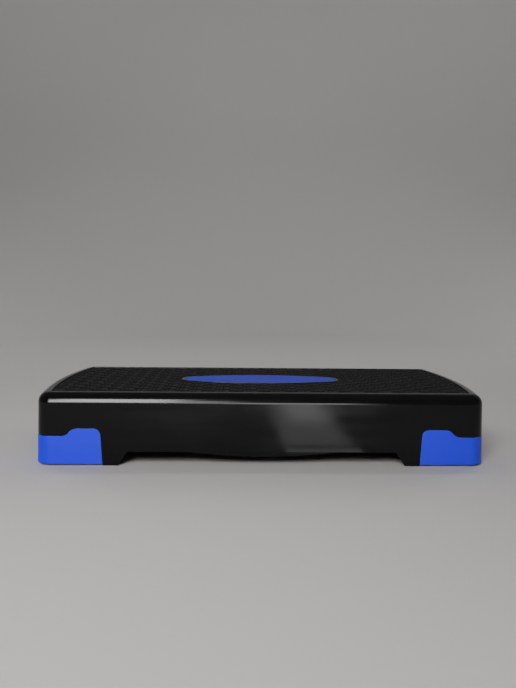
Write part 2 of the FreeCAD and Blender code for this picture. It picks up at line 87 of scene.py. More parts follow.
class Corner(Enum):
    """Corners of the deck, with the signs of X and Y there."""

    FRONT_LEFT = ("front_left", -1, -1)
    FRONT_RIGHT = ("front_right", 1, -1)
    BACK_LEFT = ("back_left", -1, 1)
    BACK_RIGHT = ("back_right", 1, 1)

    @property
    def label(self) -> str:
        """Name that the corner's nodes start with."""
        return self.value[0]

    @property
    def x(self) -> int:
        """Sign of X at the corner."""
        return self.value[1]

    @property
    def y(self) -> int:
        """Sign of Y at the corner."""
        return self.value[2]


class Facing(Enum):
    """Direction in which a ribbed face looks, as the turn about X that brings it to face up."""

    UP = 0.0
    DOWN = 180.0
    BACK = 90.0
    FRONT = -90.0

    @property
    def turn(self) -> Matrix:
        """Rotation that brings the face to face up."""
        return Matrix.Rotation(math.radians(self.value), 4, "X")


class Lamp(Enum):
    """What a studio light is for: lighting the surfaces, or showing in their gloss."""

    LIGHT = "light"
    SHINE = "shine"


class Graph:
    """Lays nodes in a tree and links them."""

    def __init__(self, tree: bpy.types.NodeTree) -> None:
        """Keeps the tree that the nodes go into.

        Args:
            tree: shader or geometry tree.
        """
        self.tree = tree

    def node(self, kind: str, inputs: Optional[dict] = None, **settings: object) -> bpy.types.Node:
        """Adds one node.

        Args:
            kind: Blender's name of the node type.
            inputs: values or sockets for the node's inputs, by name or index.
            settings: the node's own options.

        Returns:
            The new node.
        """
        made = self.tree.nodes.new(kind)
        for option, choice in settings.items():
            setattr(made, option, choice)
        for key, given in (inputs or {}).items():
            if isinstance(given, Socket):
                self.tree.links.new(given, made.inputs[key])
            else:
                made.inputs[key].default_value = given
        return made


class ShaderGraph(Graph):
    """Node tree of one surface material."""

    def __init__(self, name: str) -> None:
        """Makes the material with its shader and the coordinates of the piece.

        Args:
            name: name of the material.
        """
        self.material = bpy.data.materials.new(name)
        self.material.use_nodes = True
        super().__init__(self.material.node_tree)
        self.shader = self.tree.nodes["Principled BSDF"]
        self.place = self.node("ShaderNodeTexCoord").outputs["Object"]

    def noise(self, size: float, detail: float = 2.0, stretch: Optional[Triple] = None) -> Socket:
        """Adds a noise in the piece's own coordinates.

        Args:
            size: width of its blotches in metres.
            detail: number of finer layers.
            stretch: factors on the coordinates, for streaks.

        Returns:
            The noise's value, about 0 to 1.
        """
        place = self.place
        if stretch:
            place = self.node("ShaderNodeMapping", {"Vector": place, "Scale": stretch}).outputs[0]
        made = self.node("ShaderNodeTexNoise", {"Vector": place, "Scale": 1.0 / size, "Detail": detail})
        return made.outputs[0]

    def span(self, value: Socket, low: float, high: float, start: float = 0.3,
             end: float = 0.7) -> Socket:
        """Maps part of a value's range onto another range.

        Args:
            value: the value to map.
            low: result at the start.
            high: result at the end.
            start: value where the range begins.
            end: value where the range ends.

        Returns:
            The mapped value.
        """
        inputs = {"Value": value, "From Min": start, "From Max": end, "To Min": low, "To Max": high}
        return self.node("ShaderNodeMapRange", inputs, interpolation_type="SMOOTHSTEP").outputs[0]

    def blend(self, amount: Socket, first: object, second: object) -> Socket:
        """Mixes two colours.

        Args:
            amount: share of the second colour.
            first: colour or socket.
            second: colour or socket.

        Returns:
            The mixed colour.
        """
        made = self.node("ShaderNodeMix", {0: amount}, data_type="RGBA")
        for index, given in zip(MIX_COLOURS, (first, second)):
            if isinstance(given, Socket):
                self.tree.links.new(given, made.inputs[index])
            else:
                made.inputs[index].default_value = (*given, 1.0)
        return made.outputs[MIX_RESULT]

    def times(self, first: Socket, second: object) -> Socket:
        """Multiplies two values."""
        return self.node("ShaderNodeMath", {0: first, 1: second}, operation="MULTIPLY").outputs[0]

    def plus(self, first: Socket, second: object) -> Socket:
        """Adds two values."""
        return self.node("ShaderNodeMath", {0: first, 1: second}, operation="ADD").outputs[0]

    def bump(self, height: Socket, depth: float) -> None:
        """Gives the surface a relief.

        Args:
            height: relief, 0 to 1.
            depth: its depth in metres.
        """
        made = self.node("ShaderNodeBump", {"Height": height, "Distance": depth, "Strength": 1.0})
        self.tree.links.new(made.outputs[0], self.shader.inputs["Normal"])

    def drive(self, name: str, value: Socket) -> None:
        """Links a value to an input of the shader."""
        self.tree.links.new(value, self.shader.inputs[name])

    def fix(self, **values: float) -> None:
        """Sets inputs of the shader that are the same all over, with _ for a space in the name."""
        for name, value in values.items():
            self.shader.inputs[name.replace("_", " ")].default_value = value


@dataclass(frozen=True)
class MouldedPlastic:
    """Satin moulded plastic: eroded grain, cloudy gloss, faint flow streaks and paler scuffed edges."""

    name: str
    colour: Colour
    cloud: Colour
    rub_and_sheen_colour: Colour
    gloss: tuple[float, float]
    specular: float = 0.5
    grain: float = 0.5 * MM
    grain_depth: float = 0.012 * MM
    coarse_times: float = 3.0
    coarse_share: float = 0.6
    cloud_size: float = 90 * MM
    streak_size: float = 0.35
    streak_stretch: Triple = (2.0, 9.0, 30.0)
    streak_sway: float = 0.03
    scuff_size: float = 7 * MM
    scuff_span: tuple[float, float] = (0.42, 0.68)
    scuff_most: float = 0.8

    def material(self) -> bpy.types.Material:
        """Builds the material.

        Returns:
            The finished material.
        """
        graph = ShaderGraph(self.name)
        clouds = graph.noise(self.cloud_size, detail=4.0)
        streaks = graph.noise(self.streak_size, detail=3.0, stretch=self.streak_stretch)
        scuffs = graph.noise(self.scuff_size, detail=5.0)
        rub_and_sheen_mask = graph.node("ShaderNodeAttribute", attribute_name=EDGE_WEAR_AND_SHEEN).outputs["Fac"]
        marked_wear_and_sheen = graph.times(rub_and_sheen_mask, graph.span(scuffs, 0.0, self.scuff_most, *self.scuff_span))
        body = graph.blend(graph.span(clouds, 0.0, 1.0), self.colour, self.cloud)
        graph.drive("Base Color", graph.blend(marked_wear_and_sheen, body, self.rub_and_sheen_colour))
        sway = graph.span(streaks, -self.streak_sway, self.streak_sway)
        graph.drive("Roughness", graph.plus(graph.span(clouds, *self.gloss), sway))
        graph.fix(Specular_IOR_Level=self.specular)
        fine = graph.noise(self.grain, detail=1.0)
        coarse = graph.noise(self.coarse_times * self.grain)
        graph.bump(graph.plus(fine, graph.times(coarse, self.coarse_share)), self.grain_depth)
        return graph.material


@dataclass(frozen=True)
class MouldedRubber:
    """Matte rubber with a mealy skin, dusty in patches, and paler where edges and tops are marked:
    abrasion, and on the tread's bar tops partly a painted highlight.
    """

    name: str
    colour: Colour
    dusty: Colour
    rub_and_sheen_colour: Colour
    gloss: tuple[float, float] = (0.62, 0.8)
    specular: float = 0.16
    grain: float = 0.4 * MM
    grain_depth: float = 0.03 * MM
    dust_size: float = 26 * MM
    speck_size: float = 1.1 * MM
    wear_and_sheen_span: tuple[float, float] = (0.2, 0.9)

    def material(self) -> bpy.types.Material:
        """Builds the material.

        Returns:
            The finished material.
        """
        graph = ShaderGraph(self.name)
        dust = graph.noise(self.dust_size, detail=5.0)
        specks = graph.noise(self.speck_size)
        rub_and_sheen_mask = graph.node("ShaderNodeAttribute", attribute_name=EDGE_WEAR_AND_SHEEN).outputs["Fac"]
        body = graph.blend(graph.span(dust, 0.0, 1.0), self.colour, self.dusty)
        # Paler colour where marked: abrasion on edges; on the tread's bar tops partly abrasion and partly
        # painted highlight
        marked_wear_and_sheen = graph.times(rub_and_sheen_mask, graph.span(specks, *self.wear_and_sheen_span))
        graph.drive("Base Color", graph.blend(marked_wear_and_sheen, body, self.rub_and_sheen_colour))
        graph.drive("Roughness", graph.span(specks, *self.gloss))
        graph.fix(Specular_IOR_Level=self.specular)
        graph.bump(graph.plus(graph.noise(self.grain, detail=1.0), specks), self.grain_depth)
        return graph.material


@dataclass(frozen=True)
class PlatedSteel:
    """Zinc-plated steel with turning marks and dull blotches."""

    name: str
    colour: Colour
    blotch: Colour
    gloss: tuple[float, float] = (0.24, 0.42)
    blotch_size: float = 1.6 * MM
    mark_size: float = 2 * MM
    mark_stretch: Triple = (1.0, 14.0, 1.0)
    mark_depth: float = 0.01 * MM

    def material(self) -> bpy.types.Material:
        """Builds the material.

        Returns:
            The finished material.
        """
        graph = ShaderGraph(self.name)
        blotches = graph.noise(self.blotch_size, detail=3.0)
        marks = graph.noise(self.mark_size, stretch=self.mark_stretch)
        graph.drive("Base Color", graph.blend(graph.span(blotches, 0.0, 1.0), self.colour, self.blotch))
        graph.drive("Roughness", graph.span(marks, *self.gloss))
        graph.fix(Metallic=1.0)
        graph.bump(marks, self.mark_depth)
        return graph.material


@dataclass(frozen=True)
class StudioPaper:
    """Plain pale paper of the floor and sweep."""

    name: str
    colour: Colour

    def material(self) -> bpy.types.Material:
        """Builds the material.

        Returns:
            The finished material.
        """
        graph = ShaderGraph(self.name)
        graph.fix(Base_Color=(*self.colour, 1.0), Roughness=1.0, Specular_IOR_Level=0.0)
        return graph.material


class GeoGraph(Graph):
    """Geometry tree with named size inputs, run on a carrier mesh to make a plain mesh."""

    def __init__(self, name: str) -> None:
        """Makes an empty tree with a geometry input and output.

        Args:
            name: name of the tree.
        """
        super().__init__(bpy.data.node_groups.new(name, "GeometryNodeTree"))
        self.values: dict[str, float] = {}
        for way in ("INPUT", "OUTPUT"):
            self.tree.interface.new_socket("Geometry", in_out=way, socket_type="NodeSocketGeometry")
        self.inlet = self.node("NodeGroupInput")
        self.outlet = self.node("NodeGroupOutput")

    @property
    def carrier(self) -> Socket:
        """Geometry that comes into the tree."""
        return self.inlet.outputs[0]

    def size(self, name: str, value: float) -> Socket:
        """Adds a named size input.

        Args:
            name: name of the input.
            value: the size that the modifier gets.

        Returns:
            The socket that gives the size inside the tree.
        """
        socket = self.tree.interface.new_socket(name, in_out="INPUT", socket_type="NodeSocketFloat")
        self.values[socket.identifier] = value
        return next(out for out in self.inlet.outputs if out.identifier == socket.identifier)

    def point(self, x: object, y: object, z: object) -> Socket:
        """Joins three numbers into a vector."""
        return self.node("ShaderNodeCombineXYZ", {0: x, 1: y, 2: z}).outputs[0]

    def reckon(self, way: str, first: object, second: object) -> Socket:
        """Does one sum on two numbers."""
        return self.node("ShaderNodeMath", {0: first, 1: second}, operation=way).outputs[0]

    def both(self, first: Socket, second: Socket) -> Socket:
        """Tells where two conditions hold."""
        return self.node("FunctionNodeBooleanMath", {0: first, 1: second}, operation="AND").outputs[0]

    def join(self, parts: list[Socket]) -> Socket:
        """Joins several geometries into one.

        Args:
            parts: the geometries.

        Returns:
            The joined geometry.
        """
        made = self.node("GeometryNodeJoinGeometry")
        for part in parts:
            self.tree.links.new(part, made.inputs[0])
        return made.outputs[0]

    def run(self, name: str, carrier: bpy.types.Mesh, instances: Socket,
            material: bpy.types.Material) -> bpy.types.Mesh:
        """Ends the tree, runs it on the carrier and takes the result as a plain mesh.

        Args:
            name: name of the mesh.
            carrier: mesh that comes into the tree.
            instances: what the tree made, before it is realised.
            material: material of the result.

        Returns:
            The plain mesh.
        """
        solid = self.node("GeometryNodeRealizeInstances", {0: instances}).outputs[0]
        painted = self.node("GeometryNodeSetMaterial", {"Geometry": solid, "Material": material}).outputs[0]
        self.tree.links.new(painted, self.outlet.inputs[0])
        holder = bpy.data.objects.new(name + "_maker", carrier)
        bpy.context.scene.collection.objects.link(holder)
        modifier = holder.modifiers.new("maker", "NODES")
        modifier.node_group = self.tree
        for identifier, value in self.values.items():
            modifier[identifier] = value
        graph = bpy.context.evaluated_depsgraph_get()
        made = bpy.data.meshes.new_from_object(holder.evaluated_get(graph))
        made.name = name
        holder.modifiers.remove(modifier)
        bpy.data.objects.remove(holder)
        return made


@dataclass(frozen=True)
class BarRow:
    """One set of bars, repeated at the field's pitch."""

    x: float
    y: float
    length: float
    width: float


@dataclass(frozen=True)
class BarField:
    """Raised bars on a flat face, laid out by Geometry Nodes wherever the face carries a whole bar."""

    rows: tuple[BarRow, ...]
    pitch: tuple[float, float]
    count: tuple[int, int]
    height: float
    taper: float = 0.78
    round: float = 0.9 * MM
    round_steps: int = 2
    margin: float = 1.2 * MM
    sink: float = 0.1 * MM
    probe: float = 0.5 * MM
    facing: Facing = Facing.UP

    def bar(self, graph: GeoGraph, length: Socket, width: Socket, height: Socket) -> Socket:
        """Makes one bar with round corners and drafted sides, its foot just below zero.

        Args:
            graph: tree to build in.
            length: length at the foot.
            width: width at the foot.
            height: height above the face.

        Returns:
            The bar's mesh.
        """
        outline = graph.node("GeometryNodeCurvePrimitiveQuadrilateral", {"Width": length, "Height": width})
        rounded = graph.node("GeometryNodeFilletCurve",
                             {"Curve": outline.outputs[0], "Count": self.round_steps, "Radius": self.round},
                             mode="POLY")
        plate = graph.node("GeometryNodeFillCurve", {"Curve": rounded.outputs[0]}, mode="NGONS")
        rise = graph.point(0.0, 0.0, graph.reckon("ADD", height, self.sink))
        raised = graph.node("GeometryNodeExtrudeMesh", {"Mesh": plate.outputs[0], "Offset": rise,
                                                        "Offset Scale": 1.0})
        drafted = graph.node("GeometryNodeScaleElements", {"Geometry": raised.outputs["Mesh"],
                                                           "Selection": raised.outputs["Top"],
                                                           "Scale": self.taper})
        # The top face is marked for the paler colour: on the tread partly abrasion and partly painted
        # highlight where light catches the bar tops
        marked_wear_and_sheen = graph.node("GeometryNodeStoreNamedAttribute",
                          {"Geometry": drafted.outputs[0], "Selection": raised.outputs["Top"],
                           "Name": EDGE_WEAR_AND_SHEEN, "Value": 1.0}, data_type="FLOAT", domain="FACE")
        underside = graph.node("GeometryNodeFlipFaces", {"Mesh": plate.outputs[0]})
        closed = graph.node("GeometryNodeMergeByDistance",
                            {"Geometry": graph.join([marked_wear_and_sheen.outputs[0], underside.outputs[0]]),
                             "Distance": WELD})
        return closed.outputs[0]

    def carried(self, graph: GeoGraph, half_length: Socket, half_width: Socket) -> Socket:
        """Tells where the face carries all four corners of a bar.

        Args:
            graph: tree to build in.
            half_length: half the bar's length, with its margin.
            half_width: half the bar's width, with its margin.

        Returns:
            The condition, for each place of the grid.
        """
        here = graph.node("GeometryNodeInputPosition").outputs[0]
        held = None
        for sign_x in (-1.0, 1.0):
            for sign_y in (-1.0, 1.0):
                reach = graph.point(graph.reckon("MULTIPLY", half_length, sign_x),
                                    graph.reckon("MULTIPLY", half_width, sign_y), self.probe)
                start = graph.node("ShaderNodeVectorMath", {0: here, 1: reach}, operation="ADD").outputs[0]
                ray = graph.node("GeometryNodeRaycast", {"Target Geometry": graph.carrier,
                                                         "Source Position": start,
                                                         "Ray Direction": (0.0, 0.0, -1.0),
                                                         "Ray Length": 2.0 * self.probe})
                hit = ray.outputs["Is Hit"]
                held = hit if held is None else graph.both(held, hit)
        return held

    def row(self, graph: GeoGraph, index: int, row: BarRow, shared: dict) -> Socket:
        """Lays out one set of bars.

        Args:
            graph: tree to build in.
            index: number of the set, for the names of its inputs.
            row: sizes and place of the set.
            shared: the inputs that all sets use.

        Returns:
            The set's instances.
        """
        length = graph.size(f"Bar {index} Length", row.length)
        width = graph.size(f"Bar {index} Width", row.width)
        across, along = self.count
        size_x = graph.reckon("MULTIPLY", shared["px"], across - 1.0)
        size_y = graph.reckon("MULTIPLY", shared["py"], along - 1.0)
        grid = graph.node("GeometryNodeMeshGrid", {"Size X": size_x, "Size Y": size_y,
                                                   "Vertices X": across, "Vertices Y": along})
        x = graph.reckon("ADD", shared["x"], row.x)
        y = graph.reckon("ADD", shared["y"], row.y)
        shift = graph.point(x, y, shared["z"])
        placed = graph.node("GeometryNodeSetPosition", {"Geometry": grid.outputs[0], "Offset": shift})
        held = self.carried(graph, self.half(graph, length), self.half(graph, width))
        loose = graph.node("FunctionNodeBooleanMath", {0: held}, operation="NOT")
        kept = graph.node("GeometryNodeDeleteGeometry", {"Geometry": placed.outputs[0],
                                                         "Selection": loose.outputs[0]}, domain="POINT")
        sunk = graph.node("GeometryNodeSetPosition", {"Geometry": kept.outputs[0],
                                                      "Offset": (0.0, 0.0, -self.sink)})
        bar = self.bar(graph, length, width, shared["height"])
        stood = graph.node("GeometryNodeInstanceOnPoints", {"Points": sunk.outputs[0], "Instance": bar})
        return stood.outputs[0]

    def half(self, graph: GeoGraph, size: Socket) -> Socket:
        """Gives half a size with the margin added."""
        return graph.reckon("ADD", graph.reckon("MULTIPLY", size, 0.5), self.margin)

    def build(self, name: str, face: bpy.types.Mesh, centre: Vector,
              material: bpy.types.Material) -> bpy.types.Object:
        """Makes the bars on one face.

        Args:
            name: name of the new piece.
            face: mesh that carries the bars.
            centre: middle of the field, on the face.
            material: material of the bars.

        Returns:
            The bars as one object.
        """
        turn = self.facing.turn
        carrier = face.copy()
        carrier.transform(turn)
        middle = turn @ centre
        graph = GeoGraph(name + "_layout")
        shared = {
            "x": graph.size("Centre X", middle.x),
            "y": graph.size("Centre Y", middle.y),
            "z": graph.size("Face Height", middle.z),
            "px": graph.size("Pitch X", self.pitch[0]),
            "py": graph.size("Pitch Y", self.pitch[1]),
            "height": graph.size("Bar Height", self.height),
        }
        sets = [self.row(graph, index + 1, row, shared) for index, row in enumerate(self.rows)]
        mesh = graph.run(name, carrier, graph.join(sets), material)
        mesh.transform(turn.inverted())
        bpy.data.meshes.remove(carrier)
        return new_object(name, mesh)


def new_object(name: str, mesh: bpy.types.Mesh) -> bpy.types.Object:
    """Puts a mesh into the scene as an object at the origin.

    Args:
        name: name of the object.
        mesh: its mesh.

    Returns:
        The new object.
    """
    made = bpy.data.objects.new(name, mesh)
    bpy.context.scene.collection.objects.link(made)
    return made


def softened(node: str, name: str, width: float, segments: int = 2,
             reshape: Optional[Callable[[bmesh.types.BMesh], None]] = None) -> bpy.types.Object:
    """Copies a CAD node and rounds its sharp edges a little, as moulding and handling leave them.

    Args:
        node: name of the CAD node.
        name: name of the new piece.
        width: width of the rounding.
        segments: number of faces across the rounding.
        reshape: change that is made to the merged copy first.

    Returns:
        The copy as a new object, with its rounded edges marked for the finish.
    """
    form = bmesh.new()
    form.from_mesh(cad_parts[node].data)
    bmesh.ops.remove_doubles(form, verts=form.verts, dist=WELD)
    bmesh.ops.dissolve_limit(form, angle_limit=FLAT, use_dissolve_boundaries=False,
                             verts=form.verts, edges=form.edges)
    if reshape:
        reshape(form)
    sharp = [edge for edge in form.edges if edge.is_manifold and edge.calc_face_angle() > CREASE]
    rounding = bmesh.ops.bevel(form, geom=sharp, offset=width, offset_type="OFFSET", segments=segments,
                               profile=0.5, affect="EDGES", clamp_overlap=False)
    rub_and_sheen_mask = form.loops.layers.float.new(EDGE_WEAR_AND_SHEEN)
    for face in rounding["faces"]:
        for loop in face.loops:
            loop[rub_and_sheen_mask] = 1.0
    mesh = bpy.data.meshes.new(name)
    form.to_mesh(mesh)
    form.free()
    mesh.shade_smooth()
    mesh.set_sharp_from_angle(angle=SMOOTH)
    return weighted(new_object(name, mesh))


def weighted(made: bpy.types.Object) -> bpy.types.Object:
    """Gives a piece normals that keep its broad faces flat.

    Args:
        made: the piece.

    Returns:
        The same piece, with the normals in its mesh.
    """
    modifier = made.modifiers.new("normals", "WEIGHTED_NORMAL")
    modifier.keep_sharp = True
    graph = bpy.context.evaluated_depsgraph_get()
    mesh = bpy.data.meshes.new_from_object(made.evaluated_get(graph))
    made.modifiers.remove(modifier)
    old = made.data
    made.data = mesh
    bpy.data.meshes.remove(old)
    mesh.name = made.name
    return made


@dataclass
class SubAssembly:
    """Something that is built and dressed; keeps its finished pieces."""

    pieces: list[bpy.types.Object] = field(default_factory=list, init=False)

    def settle(self, piece: bpy.types.Object, body: str, slot: Slot, material: bpy.types.Material,
               *nodes: str) -> bpy.types.Object:
        """Paints a piece, ties it to its body and hides the CAD nodes that it stands for.

        Args:
            piece: the new object.
            body: body that it moves with.
            slot: not used.
            material: its material.
            nodes: CAD nodes that it stands for.

        Returns:
            The same object.
        """
        piece.data.materials.clear()
        piece.data.materials.append(material)
        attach(piece, body)
        if nodes:
            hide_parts(*nodes)
        self.pieces.append(piece)
        return piece


@dataclass
class Deck(SubAssembly):
    """Ribbed shell, tread sheet with its bars, and the oval badge."""

    edge: float = 0.5 * MM
    sheet_edge: float = 0.35 * MM
    badge_edge: float = 0.6 * MM
    bar_length: float = 10.0 * MM
    bar_width: float = 3.2 * MM
    bar_gap: float = 5.8 * MM
    bar_height: float = 1.0 * MM
    step_x: float = 20.3 * MM
    step_y: float = 11.6 * MM
    motif: tuple[float, float] = (-2.9 * MM, -2.8 * MM)
    field_count: tuple[int, int] = (19, 13)

    def tread_pattern(self) -> BarField:
        """Lays out the tread: pairs of bars, one pair turned, in every other block of a checker.

        Returns:
            The field of bars.
        """
        rows = []
        for shift in (0, 1):
            x = self.motif[0] + shift * self.step_x
            y = self.motif[1] + shift * self.step_y
            for side in (-0.5, 0.5):
                apart = side * self.bar_gap
                rows.append(BarRow(x + apart, y, self.bar_width, self.bar_length))
                rows.append(BarRow(x + self.step_x / 2, y + apart, self.bar_length, self.bar_width))
        return BarField(rows=tuple(rows), pitch=(2 * self.step_x, 2 * self.step_y),
                        count=self.field_count, height=self.bar_height)

    def build(self, shell: bpy.types.Material, rubber: bpy.types.Material,
              blue: bpy.types.Material) -> None:
        """Makes and dresses the deck's own pieces.

        Args:
            shell: finish of the moulding.
            rubber: finish of the tread.
            blue: finish of the badge.
        """
        moulding = softened("deck_shell", "deck_moulding", self.edge)
        self.settle(moulding, "deck", Slot.DECK, shell, "deck_shell")
        sheet = softened("tread_mat", "tread_sheet", self.sheet_edge)
        self.settle(sheet, "deck", Slot.TREAD, rubber, "tread_mat")
        centre = Vector((0.0, 0.0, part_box("tread_mat")[1].z))
        bars = self.tread_pattern().build("tread_bars", sheet.data, centre, rubber)
        self.settle(bars, "deck", Slot.TREAD, rubber)
        badge = softened("oval_badge", "badge_plate", self.badge_edge, segments=3)
        self.settle(badge, "deck", Slot.BLUE, blue, "oval_badge")


@dataclass
class CornerFoot(SubAssembly):
    """One blue corner foot and its ribbed rubber sole."""

    corner: Corner
    edge: float = 0.6 * MM
    sole_edge: float = 0.4 * MM
    rib: float = 0.8 * MM
    rib_length: float = 17.0 * MM
    rib_width: float = 2.2 * MM
    rib_pitch: tuple[float, float] = (20.0 * MM, 8.0 * MM)
    rib_count: tuple[int, int] = (7, 11)

    def lift_sole(self, form: bmesh.types.BMesh) -> None:
        """Raises the sole's underside to leave room for its ribs.

        Args:
            form: the merged copy of the sole pad.
        """
        for vert in form.verts:
            if vert.co.z < self.rib:
                vert.co.z += self.rib

    def build(self, blue: bpy.types.Material, rubber: bpy.types.Material) -> None:
        """Makes and dresses the foot.

        Args:
            blue: finish of the foot.
            rubber: finish of the sole.
        """
        label = self.corner.label
        body = label + "_foot"
        shell = softened(label + "_foot", label + "_foot_shell", self.edge)
        self.settle(shell, body, Slot.BLUE, blue, label + "_foot")
        sole = softened(label + "_sole_pad", label + "_sole", self.sole_edge, reshape=self.lift_sole)
        self.settle(sole, body, Slot.PAD, rubber, label + "_sole_pad")
        low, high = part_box(label + "_sole_pad")
        centre = Vector(((low.x + high.x) / 2, (low.y + high.y) / 2, self.rib))
        along, across = self.rib_pitch
        rows = (BarRow(0.0, 0.0, self.rib_length, self.rib_width),
                BarRow(along / 2, across / 2, self.rib_length, self.rib_width))
        ribs = BarField(rows=rows, pitch=self.rib_pitch, count=self.rib_count, height=self.rib,
                        facing=Facing.DOWN)
        grip = ribs.build(label + "_sole_ribs", sole.data, centre, rubber)
        self.settle(grip, body, Slot.PAD, rubber)


@dataclass
class FootLock(SubAssembly):
    """One lock bolt with its finger grip, and the keeper that guides it."""

    corner: Corner
    edge: float = 0.45 * MM
    ridge: float = 0.7 * MM
    ridge_width: float = 1.5 * MM
    ridge_length: float = 8.6 * MM
    ridge_round: float = 0.6 * MM
    ridge_margin: float = 0.1 * MM
    ridge_pitch: tuple[float, float] = (3.1 * MM, 20.0 * MM)
    ridge_count: tuple[int, int] = (5, 2)

    def build(self, nylon: bpy.types.Material, black: bpy.types.Material) -> None:
        """Makes and dresses the lock.

        Args:
            nylon: finish of the bolt.
            black: finish of the keeper.
        """
        label = self.corner.label
        body = label + "_lock_bolt"
        bar = softened(label + "_lock_bolt", label + "_bolt_bar", self.edge)
        self.settle(bar, body, Slot.BOLT, nylon, label + "_lock_bolt")
        low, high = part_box(label + "_lock_bolt")
        inner = high.y if self.corner.y < 0 else low.y
        centre = Vector(((low.x + high.x) / 2, inner, (low.z + high.z) / 2))
        facing = Facing.BACK if self.corner.y < 0 else Facing.FRONT
        row = BarRow(0.0, 0.0, self.ridge_width, self.ridge_length)
        ridges = BarField(rows=(row,), pitch=self.ridge_pitch, count=self.ridge_count, height=self.ridge,
                          round=self.ridge_round, margin=self.ridge_margin, facing=facing)
        shifted = centre + Vector((0.0, 0.0, ridges.pitch[1] / 2))
        grip = ridges.build(label + "_bolt_grip", bar.data, shifted, nylon)
        self.settle(grip, body, Slot.BOLT, nylon)
        sleeve = softened(label + "_lock_keeper", label + "_keeper_sleeve", self.edge)
        self.settle(sleeve, "deck", Slot.KEEPER, black, label + "_lock_keeper")


@dataclass
class KeeperScrews(SubAssembly):
    """Cross-head screws that hold the keepers, made by Geometry Nodes."""

    places_x: tuple[float, float] = (266.0 * MM, 300.0 * MM)
    seat: float = 72.0 * MM
    height: float = 34.0 * MM
    head_radius: float = 2.9 * MM
    head_top: float = 2.1 * MM
    head_height: float = 1.9 * MM
    head_sides: int = 24
    shank_radius: float = 1.3 * MM
    shank_length: float = 6.3 * MM
    shank_sides: int = 16
    slot_length: float = 3.4 * MM
    slot_width: float = 0.8 * MM
    slot_depth: float = 1.1 * MM

    def points(self) -> bpy.types.Mesh:
        """Makes the points that the screws stand on.

        Returns:
            Mesh of the points, each with the way that its head looks.
        """
        places, ways = [], []
        for corner in Corner:
            for x in self.places_x:
                places.append((corner.x * x, corner.y * self.seat, self.height))
                ways.append((0.0, -corner.y, 0.0))
        mesh = bpy.data.meshes.new("screw_points")
        mesh.from_pydata(places, [], [])
        looks = mesh.attributes.new("looks", "FLOAT_VECTOR", "POINT")
        for index, way in enumerate(ways):
            looks.data[index].vector = way
        return mesh

    def screw(self, graph: GeoGraph) -> Socket:
        """Makes one screw with its seat at zero and its head up.

        Args:
            graph: tree to build in.

        Returns:
            The screw's mesh.
        """
        head_height = graph.size("Head Height", self.head_height)
        bottom = graph.size("Head Radius", self.head_radius)
        top = graph.size("Head Top", self.head_top)
        head = graph.node("GeometryNodeMeshCone", {"Vertices": self.head_sides, "Radius Bottom": bottom,
                                                   "Radius Top": top, "Depth": head_height}).outputs[0]
        length = graph.size("Shank Length", self.shank_length)
        radius = graph.size("Shank Radius", self.shank_radius)
        shank = graph.node("GeometryNodeMeshCylinder", {"Vertices": self.shank_sides, "Radius": radius,
                                                        "Depth": length}).outputs[0]
        drop = graph.point(0.0, 0.0, graph.reckon("MULTIPLY", length, -0.5))
        hung = graph.node("GeometryNodeTransform", {"Geometry": shank, "Translation": drop}).outputs[0]
        recess = graph.size("Recess Depth", self.slot_depth)
        long_side = graph.size("Recess Length", self.slot_length)
        short_side = graph.size("Recess Width", self.slot_width)
        deep = graph.reckon("MULTIPLY", recess, 2.0)
        lift = graph.point(0.0, 0.0, head_height)
        for across, along in ((long_side, short_side), (short_side, long_side)):
            blade = graph.node("GeometryNodeMeshCube", {"Size": graph.point(across, along, deep)})
            raised = graph.node("GeometryNodeTransform",
                                {"Geometry": blade.outputs[0], "Translation": lift})
            head = graph.node("GeometryNodeMeshBoolean", {"Mesh 1": head, "Mesh 2": raised.outputs[0]},
                              operation="DIFFERENCE").outputs[0]
        return graph.join([head, hung])

    def build(self, steel: bpy.types.Material) -> None:
        """Makes and dresses the screws.

        Args:
            steel: finish of the screws.
        """
        graph = GeoGraph("keeper_screw_layout")
        looks = graph.node("GeometryNodeInputNamedAttribute", {"Name": "looks"}, data_type="FLOAT_VECTOR")
        aim = graph.node("FunctionNodeAlignRotationToVector", {"Vector": looks.outputs[0]}, axis="Z")
        screw = self.screw(graph)
        stood = graph.node("GeometryNodeInstanceOnPoints",
                           {"Points": graph.carrier, "Instance": screw, "Rotation": aim.outputs[0]})
        least, most = RANDOM_LIMITS
        turn = graph.node("FunctionNodeRandomValue", {least: 0.0, most: math.pi / 2, "Seed": SEED},
                          data_type="FLOAT")
        twist = graph.point(0.0, 0.0, turn.outputs[RANDOM_RESULT])
        turned = graph.node("GeometryNodeRotateInstances",
                            {"Instances": stood.outputs[0], "Rotation": twist})
        points = self.points()
        screws = new_object("screw_set", graph.run("screw_set", points, turned.outputs[0], steel))
        bpy.data.meshes.remove(points)
        self.settle(screws, "deck", Slot.SCREW, steel, "keeper_screws")


@dataclass(frozen=True)
class SoftBox:
    """One soft rectangular studio light."""

    name: str
    place: Triple
    target: Triple
    size: tuple[float, float]
    watts: float
    use: Lamp = Lamp.LIGHT
    beam: float = 180.0

    def build(self) -> None:
        """Hangs the light and turns it to its target."""
        lamp = bpy.data.lights.new(self.name, "AREA")
        lamp.shape = "RECTANGLE"
        lamp.size, lamp.size_y = self.size
        lamp.energy = self.watts
        lamp.spread = math.radians(self.beam)
        hung = bpy.data.objects.new(self.name, lamp)
        away = Vector(self.place) - Vector(self.target)
        turn = away.to_track_quat("Z", "Y").to_matrix().to_4x4()
        hung.matrix_world = Matrix.Translation(self.place) @ turn
        hung.visible_camera = False
        hung.visible_diffuse = self.use is Lamp.LIGHT
        hung.visible_glossy = self.use is Lamp.SHINE
        bpy.context.scene.collection.objects.link(hung)


